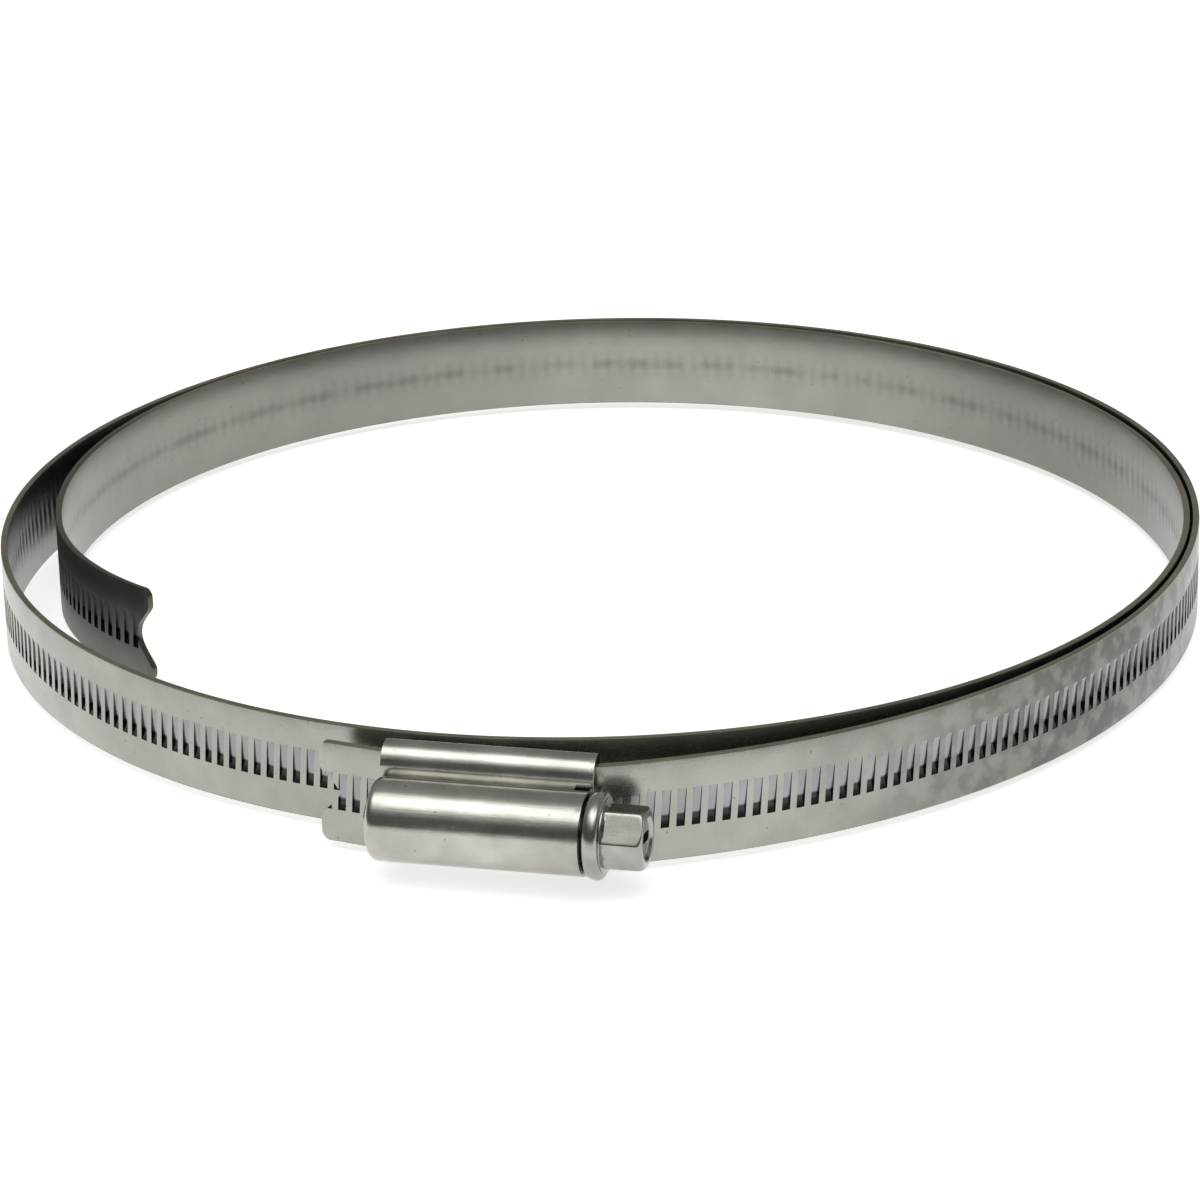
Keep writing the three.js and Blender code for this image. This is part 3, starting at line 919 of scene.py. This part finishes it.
def slot_cutter():
    mesh = bpy.data.meshes.new("slot")
    mesh.materials.append(slot_grime_and_shade_steel)
    bm = bmesh.new()
    bmesh.ops.create_cube(bm, size=1)
    bmesh.ops.scale(bm, verts=bm.verts, vec=(2 * SLOT_DEPTH, SLOT_LENGTH, SLOT_WIDTH))
    bmesh.ops.bevel(bm, geom=bm.edges[:], offset=0.15 * MM, segments=3, affect="EDGES")
    bmesh.ops.rotate(bm, verts=bm.verts, matrix=Matrix.Rotation(math.radians(-HEX_TURN), 3, "X"))
    bmesh.ops.translate(bm, verts=bm.verts, vec=Vector((HEX_END_X, SCREW_Y, MID_Z)) + SHIFT)
    bm.to_mesh(mesh)
    bm.free()
    obj = bpy.data.objects.new("slot", mesh)
    bpy.context.scene.collection.objects.link(obj)
    return obj


def join(target, other):
    bm = bmesh.new()
    bm.from_mesh(target.data)
    bm.from_mesh(other.data)
    bm.to_mesh(target.data)
    bm.free()
    bpy.data.objects.remove(other)


# ---------------------------------------------------------------- pieces
PIECES = [
    (make_band, "band", "clamp"),
    (make_housing, "housing", "clamp"),
    (make_screw, "worm_screw", "screw"),
]
for make, name, body in PIECES:
    piece = make()
    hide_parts(name)
    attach(piece, body)


# ---------------------------------------------------------------- camera
def make_camera():
    focal_share = 4639.1 / 1200          # focal length over the picture's side
    pitch = math.radians(21.126)
    roll = math.radians(-1.416)
    azimuth = math.radians(14)
    place = Vector((144.54, -576.14, 228.746)) * MM + SHIFT
    level = Vector((-math.sin(azimuth), math.cos(azimuth), 0))
    forward = level * math.cos(pitch) - Vector((0, 0, math.sin(pitch)))
    right = Vector((math.cos(azimuth), math.sin(azimuth), 0))
    up = right.cross(forward)
    turned_right = right * math.cos(roll) + up * math.sin(roll)
    turned_up = up * math.cos(roll) - right * math.sin(roll)
    camera = bpy.data.cameras.new("camera")
    camera.sensor_width = 36
    camera.lens = 36 * focal_share
    camera.clip_start = 0.01
    camera.clip_end = 20
    obj = bpy.data.objects.new("camera", camera)
    axes = Matrix((turned_right, turned_up, -forward)).transposed().to_4x4()
    obj.matrix_world = Matrix.Translation(place) @ axes
    bpy.context.scene.collection.objects.link(obj)
    bpy.context.scene.camera = obj


# ---------------------------------------------------------------- floor and light
def make_floor():
    mesh = bpy.data.meshes.new("floor")
    size = 6.0
    corners = [(-size, -size, 0), (size, -size, 0), (size, size, 0), (-size, size, 0)]
    mesh.from_pydata(corners, [], [(0, 1, 2, 3)])
    floor = bpy.data.objects.new("floor", mesh)
    floor.location.z = -0.00005
    material = bpy.data.materials.new("pale_floor")
    material.use_nodes = True
    shader = material.node_tree.nodes["Principled BSDF"]
    shader.inputs["Base Color"].default_value = (0.65, 0.65, 0.65, 1)
    shader.inputs["Roughness"].default_value = 0.9
    shader.inputs["Specular IOR Level"].default_value = 0.0
    shader.inputs["Emission Color"].default_value = (1, 1, 1, 1)
    shader.inputs["Emission Strength"].default_value = 0.70
    mesh.materials.append(material)
    bpy.context.scene.collection.objects.link(floor)


BRIGHTEST = 4.0
# The studio's brightness by height, (0 straight down to 1 straight up, brightness)
FRONT_LIGHT = [
    (0.0, 0.85), (0.47, 0.85), (0.505, 0.35), (0.54, 0.12), (0.765, 0.13), (0.84, 0.45), (0.895, 1.2),
    (0.935, 2.7), (0.986, 2.8), (1.0, 0.9),
]
BACK_LIGHT = [
    (0.0, 0.85), (0.47, 0.85), (0.54, 0.40), (0.64, 0.30), (0.80, 0.28), (0.94, 0.34), (0.99, 0.5),
    (1.0, 0.9),
]


def make_world():
    """A soft studio: dark below eye level towards the camera, a big soft light overhead, grey behind."""
    world = bpy.data.worlds.new("studio")
    bpy.context.scene.world = world
    world.use_nodes = True
    tree = world.node_tree
    link = tree.links.new
    coords = node(tree, "ShaderNodeTexCoord")
    split = node(tree, "ShaderNodeSeparateXYZ")
    link(coords.outputs["Generated"], split.inputs["Vector"])
    ramps = []
    scaled = node(tree, "ShaderNodeMapRange")
    scaled.inputs["From Min"].default_value = -1.0
    link(split.outputs["Z"], scaled.inputs["Value"])
    for stops in (FRONT_LIGHT, BACK_LIGHT):
        curve = node(tree, "ShaderNodeFloatCurve")
        points = curve.mapping.curves[0].points
        while len(points) < len(stops):
            points.new(0.5, 0.5)
        for point, (where, value) in zip(points, stops):
            point.location = (where, value / BRIGHTEST)
            point.handle_type = "VECTOR"
        curve.mapping.update()
        link(scaled.outputs["Result"], curve.inputs["Value"])
        ramps.append(curve)
    side = node(tree, "ShaderNodeMapRange", interpolation_type="SMOOTHSTEP")
    side.inputs["From Min"].default_value = -0.12
    side.inputs["From Max"].default_value = 0.22
    link(split.outputs["Y"], side.inputs["Value"])
    mix = node(tree, "ShaderNodeMix", data_type="FLOAT")
    link(side.outputs["Result"], mix.inputs["Factor"])
    link(ramps[0].outputs[0], mix.inputs["A"])
    link(ramps[1].outputs[0], mix.inputs["B"])
    background = tree.nodes["Background"]
    strength = node(tree, "ShaderNodeMath", operation="MULTIPLY")
    strength.inputs[1].default_value = BRIGHTEST
    link(mix.outputs[0], strength.inputs[0])
    link(strength.outputs[0], background.inputs["Strength"])
    background.inputs["Color"].default_value = (1.0, 0.995, 0.98, 1)


make_camera()
make_floor()
make_world()
bpy.context.scene.view_settings.view_transform = "Standard"
